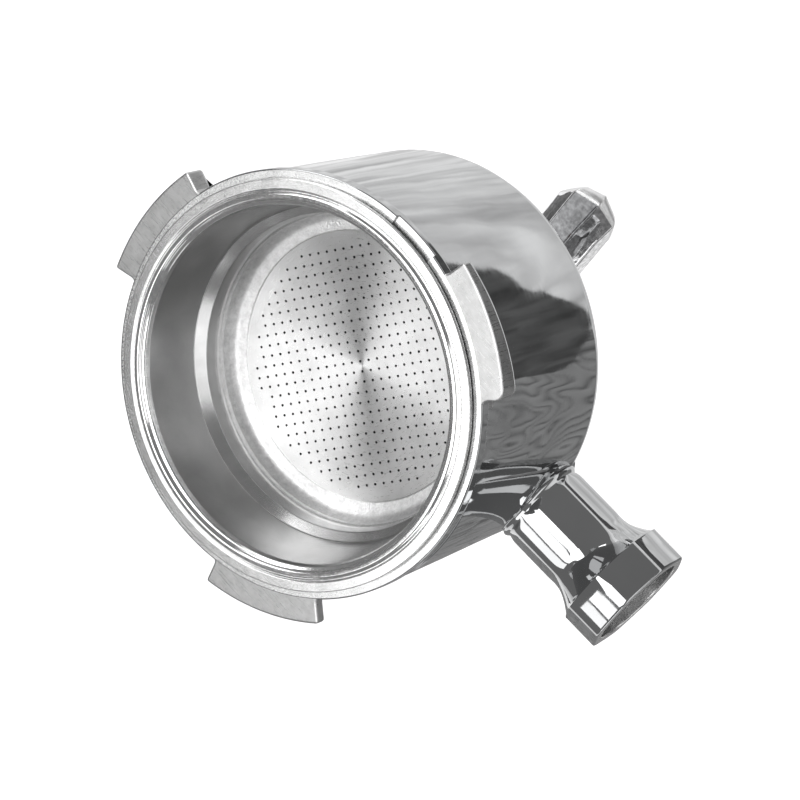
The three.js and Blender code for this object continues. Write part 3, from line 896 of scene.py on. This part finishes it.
def washer():
    """Flat fibre ring, squeezed a little proud at its edge."""
    top, bottom = UNDER_BOSS_BOTTOM - 0.04, SHOULDER_TOP + 0.04
    inner = THREAD_CREST_RADIUS + 0.35
    outer = WASHER_HIGH.x
    bulge = outer + 0.15
    profile = [(inner, bottom, 0.2, 0), (outer, bottom, 0.5, 0), (bulge, (top + bottom) / 2, 0.9, 0),
               (outer, top, 0.5, 0), (inner, top, 0.2, 0)]
    skin = Skin()
    skin.rows(turned(outline(profile)[0], circle(96)))
    skin.piece("fibre_washer", [red_fibre("red_fibre")], "seal", ["spout_washer"])


SPOUT_MATERIALS = [
    mirror_chrome("chrome_spout", 1.2, 0.012, (0.85, 0.85, 0.86), (1200, 0.6)),
    turned_face("spout_thread", (0.6, 0.59, 0.57), 0.2, 0.35, 0.0015),
    plain_steel("spout_lip", 0.95, 0.36, 0.46, 0.0006),
]
SPOUT_CHROME, SPOUT_TURNED, SPOUT_LIP = range(3)


def nipple(skin):
    """Threaded pipe on top of the hub, bored for the coffee."""
    angles = circle(96)
    bottom, top = SHOULDER_TOP - 1.0, SPOUT_TOP
    rows = turned([(HUB_BORE_RADIUS, ARM_HEIGHT - 3), (HUB_BORE_RADIUS, top - 0.3),
                   (HUB_BORE_RADIUS + 0.3, top), (THREAD_ROOT_RADIUS, top)], angles)
    depth = THREAD_CREST_RADIUS - THREAD_ROOT_RADIUS
    for height in np.arange(top - 0.1, SHOULDER_TOP + 0.9, -THREAD_PITCH / 8):
        phase = (height / THREAD_PITCH - angles / (2 * math.pi)) % 1
        fade = min(1, (top - height) / THREAD_LEAD)
        radius = THREAD_ROOT_RADIUS + depth * fade * (1 - 2 * np.abs(phase - 0.5))
        rows.append(np.column_stack([radius * np.cos(angles), radius * np.sin(angles),
                                     np.full(len(angles), height)]))
    rows += turned([(THREAD_ROOT_RADIUS, SHOULDER_TOP + 0.8), (THREAD_ROOT_RADIUS, bottom)], angles)
    skin.rows(rows, SPOUT_TURNED)
    skin.cap(rows[0], SPOUT_TURNED)
    skin.cap(rows[-1], SPOUT_TURNED)


def hub(skin):
    """Octagonal wrench collar over a round stem with a domed foot."""
    angles = circle(192)
    low = SHOULDER_TOP - HUB_HEIGHT

    def section(height, flat, sharpness):
        """Eight-sided row at one height."""
        radius = eight_sided(angles, flat, sharpness)
        return np.column_stack([radius * np.cos(angles), radius * np.sin(angles),
                                np.full(len(angles), height)])

    rows = [section(SHOULDER_TOP, HUB_FLAT - 1.1, 20), section(SHOULDER_TOP, HUB_FLAT - 0.5, 40),
            section(SHOULDER_TOP - 0.15, HUB_FLAT - 0.2, 70), section(SHOULDER_TOP - 0.5, HUB_FLAT, 90),
            section(low + 0.7, HUB_FLAT, 90)]
    for t in np.linspace(0, 1, 9):
        flat = mix(HUB_FLAT, STEM_RADIUS + 0.05, smooth(t))
        rows.append(section(mix(low + 0.6, low - 1.6, t), flat, mix(90, 5, smooth(t * 1.6))))
    dome = [(STEM_RADIUS, low - 1.9, 0, 0), (STEM_RADIUS, STEM_BOTTOM, 4.2, 0), (0.05, STEM_BOTTOM, 0, 0)]
    rows += turned(outline(dome, closed=False, steps=10)[0], angles)
    skin.rows(rows, SPOUT_CHROME)
    skin.cap(rows[0], SPOUT_CHROME)
    skin.cap(rows[-1], SPOUT_CHROME)


def tip_reach(x, z):
    """How far along its own direction an arm goes before it meets its slanted end."""
    dy = math.cos(TIP_SLANT) * math.cos(TIP_SWEEP)
    dx = -math.cos(TIP_SLANT) * math.sin(TIP_SWEEP)
    dz = -math.sin(TIP_SLANT)
    return TIP_TOP[0] - (dx * x + dz * (z - TIP_TOP[1])) / dy


def arm(skin, side):
    """Octagonal arm, flared past the bend, with a rounded lip round its slanted, bored end."""
    angles = circle(160)
    cos, sin = np.cos(angles), np.sin(angles)
    sharp, rounded = 80, 12

    def row_at(reach, inset=0.0, sharpness=sharp):
        """Section whose points lie at the distances in reach, one for each angle."""
        past = np.clip((reach - ARM_BEND) / (ARM_END - ARM_BEND), 0, 1)
        flat = mix(ARM_FLAT, ARM_END_FLAT, past) - inset
        radius = eight_sided(angles, 1.0, sharpness) * flat
        return np.column_stack([radius * cos, side * reach, ARM_HEIGHT - ARM_DROP * past + radius * sin])

    end = np.full(len(angles), ARM_END)
    for _ in range(6):
        edge = row_at(end)
        end = tip_reach(edge[:, 0], edge[:, 2])
    lip_start = end - LIP
    bend = np.minimum(lip_start, ARM_BEND)
    rows = [row_at(np.full(len(angles), start)) for start in (2.0, 10.0, 20.0)]
    rows += [row_at(mix(20.0, bend, t)) for t in (0.5, 1.0)]
    rows += [row_at(mix(bend, lip_start, t)) for t in (0.03, 0.35, 0.7, 1.0)]
    straight = len(rows) - 1
    for degree in (15, 30, 45, 60, 75, 90):
        turn = math.radians(degree)
        rows.append(row_at(lip_start + LIP * math.sin(turn), LIP * (1 - math.cos(turn)),
                           mix(sharp, rounded, smooth(degree / 60))))
    rows.append(row_at(end, LIP + 0.15, rounded))
    outside = len(rows) - 1

    def bore_row(radius, back):
        """Row of the outlet bore, at a distance behind the slanted face."""
        across, up = radius * cos, radius * sin + ARM_HEIGHT - 0.6
        reach = tip_reach(across, up)
        return np.column_stack([across, side * (reach - back), up])

    rows += [bore_row(OUTLET_RADIUS + 0.15, -0.02), bore_row(OUTLET_RADIUS - 0.1, 0.15),
             bore_row(OUTLET_RADIUS - 0.2, 0.6), bore_row(ARM_BORE_RADIUS, 5.0)]
    deep = rows[-1].copy()
    deep[:, 1] = side * 4.0
    rows.append(deep)
    skin.rows(rows, [SPOUT_CHROME] * straight + [SPOUT_LIP] * (outside - straight)
              + [SPOUT_TURNED] * (len(rows) - 1 - outside))
    skin.cap(rows[0], SPOUT_CHROME)
    skin.cap(rows[-1], SPOUT_TURNED)


def spout():
    """The whole spout: threaded pipe, hub and both arms."""
    skin = Skin()
    nipple(skin)
    hub(skin)
    for side in (1, -1):
        arm(skin, side)
    skin.piece("double_spout", SPOUT_MATERIALS, "spout", ["spout_body"])


# ---- stage, light and camera --------------------------------------------------------------------

FLOOR_LEVEL = -0.17


def flat_card(name, outline_points, level, material):
    """A flat shape at one height, in millimetres on plan. Only reflections show it."""
    mesh = bpy.data.meshes.new(name)
    corners = [(x * MM, y * MM, level) for x, y in outline_points]
    mesh.from_pydata(corners, [], [range(len(corners))])
    mesh.materials.append(material)
    obj = bpy.data.objects.new(name, mesh)
    obj.visible_camera = False
    obj.visible_shadow = False
    obj.visible_diffuse = False
    bpy.context.scene.collection.objects.link(obj)


def glow(name, low, high, scale, lines=0.0, stretch=1.0, detail=1.5, distortion=0.6):
    """Card surface that glows between two greys in soft clouds. A number of lines adds dark contours."""
    f = Finish(name).set(Base_Color=(0, 0, 0, 1), Roughness=1.0)
    f.shader.inputs["Specular IOR Level"].default_value = 0.0
    clouds = f.noise(f.scaled(1, stretch, 1, (0, 0, 0.6)), scale, detail, distortion=distortion)
    value = clouds
    stops = [(0.3, low), (0.7, high)]
    if lines:
        value = f.math("FRACT", f.math("MULTIPLY", clouds, lines))
        stops = [(0.0, low), (0.2, high), (0.75, mix(low, high, 0.75)), (1.0, low)]
    f.links.new(f.ramp(value, stops), f.shader.inputs["Emission Color"])
    f.shader.inputs["Emission Strength"].default_value = 1.0
    return f.material


def pale_floor():
    """The white table under the part, which also glows so that it stays white in the picture."""
    f = Finish("pale_floor").set(Roughness=1.0)
    f.shader.inputs["Specular IOR Level"].default_value = 0.0
    f.colour(f.ramp(f.noise(f.place, 3.0, detail=2), [(0.3, 0.86), (0.7, 0.9)]))
    f.shader.inputs["Emission Color"].default_value = (1, 1, 1, 1)
    f.shader.inputs["Emission Strength"].default_value = 0.52
    mesh = bpy.data.meshes.new("floor")
    half = 3.0
    plan = ((-half, -half), (half, -half), (half, half), (-half, half))
    corners = [(x, y, FLOOR_LEVEL) for x, y in plan]
    mesh.from_pydata(corners, [], [(0, 1, 2, 3)])
    mesh.materials.append(f.material)
    floor = bpy.data.objects.new("floor", mesh)
    bpy.context.scene.collection.objects.link(floor)


def softbox(name, place, width, height, watts, target=(0, 0, -0.02)):
    """Rectangular area light that faces the target."""
    light = bpy.data.lights.new(name, "AREA")
    light.shape = "RECTANGLE"
    light.size = width
    light.size_y = height
    light.energy = watts
    obj = bpy.data.objects.new(name, light)
    aim = (Vector(target) - Vector(place)).to_track_quat("-Z", "Y")
    obj.matrix_world = Matrix.Translation(place) @ aim.to_matrix().to_4x4()
    bpy.context.scene.collection.objects.link(obj)


def cards():
    """Dark, grey and bright shapes round the part, for the chrome and the steel to mirror."""
    dark_shape = [(-60, 138), (9, 118), (28, 111), (41, 101), (65, 75), (95, 54), (101, 64), (260, 150),
                  (120, 300), (-60, 300)]
    flat_card("dark_card", dark_shape, FLOOR_LEVEL + 0.004,
              glow("dark_card", 0.06, 0.16, 90, detail=4.0))
    side_shape = [(72, 74), (60, 40), (66, -10), (60, -50), (10, -70), (-60, -190), (0, -420),
                  (400, -200), (400, 200), (260, 150), (101, 64)]
    flat_card("side_card", side_shape, FLOOR_LEVEL + 0.002,
              glow("side_card", 0.12, 0.36, 80, lines=13, stretch=0.25, detail=1.0, distortion=0.5))
    pale_shape = [(-400, -60), (60, -60), (60, 60), (80, 120), (0, 420), (-400, 420)]
    flat_card("pale_card", pale_shape, FLOOR_LEVEL + 0.001,
              glow("pale_card", 0.6, 1.12, 22, stretch=4.5, detail=4.5))
    arm_shape = [(-150, -110), (-150, -420), (-620, -420), (-620, -110)]
    flat_card("arm_card", arm_shape, FLOOR_LEVEL + 0.003, glow("arm_card", 0.1, 0.24, 14))


def stage():
    """Table, cards, even background light and softboxes. Sizes in metres, power in watts."""
    pale_floor()
    cards()
    world = bpy.data.worlds.new("studio")
    world.use_nodes = True
    background = world.node_tree.nodes["Background"]
    background.inputs["Color"].default_value = (1, 1, 1, 1)
    background.inputs["Strength"].default_value = 0.21
    bpy.context.scene.world = world
    bpy.context.scene.view_settings.view_transform = "Standard"
    softbox("overhead", (-0.11, -0.06, 1.05), 0.85, 0.85, 6.4)
    softbox("near_strip", (-0.04, -0.57, 1.02), 0.36, 0.13, 0.3)
    softbox("far_strip", (-0.04, -0.73, 0.98), 0.36, 0.13, 0.24)
    softbox("high_side", (-0.85, 0.15, 0.85), 0.45, 0.3, 1.9)
    softbox("low_side", (-0.9, 0.48, 0.27), 0.5, 0.25, 1.1)
    softbox("end_light", (0.85, -0.52, 0.2), 0.3, 0.3, 0.5)
    softbox("front_side", (0.83, 0.42, 0.36), 1.1, 0.35, 1.4)


CAMERA_PLACE = Vector((0.1788, 0.3178, 0.4970))
CAMERA_RIGHT = Vector((0.636, 0.548, -0.543))
CAMERA_FORWARD = Vector((-0.269, -0.502, -0.822))
CAMERA_LENS = 166.5


def camera():
    """Long lens at the place and angle that match the photo."""
    back = -CAMERA_FORWARD.normalized()
    right = (CAMERA_RIGHT - back * CAMERA_RIGHT.dot(back)).normalized()
    up = back.cross(right)
    obj = bpy.data.objects.new("camera", bpy.data.cameras.new("camera"))
    obj.matrix_world = Matrix.Translation(CAMERA_PLACE) @ Matrix((right, up, back)).transposed().to_4x4()
    obj.data.lens = CAMERA_LENS
    obj.data.sensor_width = 36
    obj.data.clip_start = 0.01
    bpy.context.scene.collection.objects.link(obj)
    bpy.context.scene.camera = obj


camera()
stage()
holder()
basket()
wire()
washer()
spout()
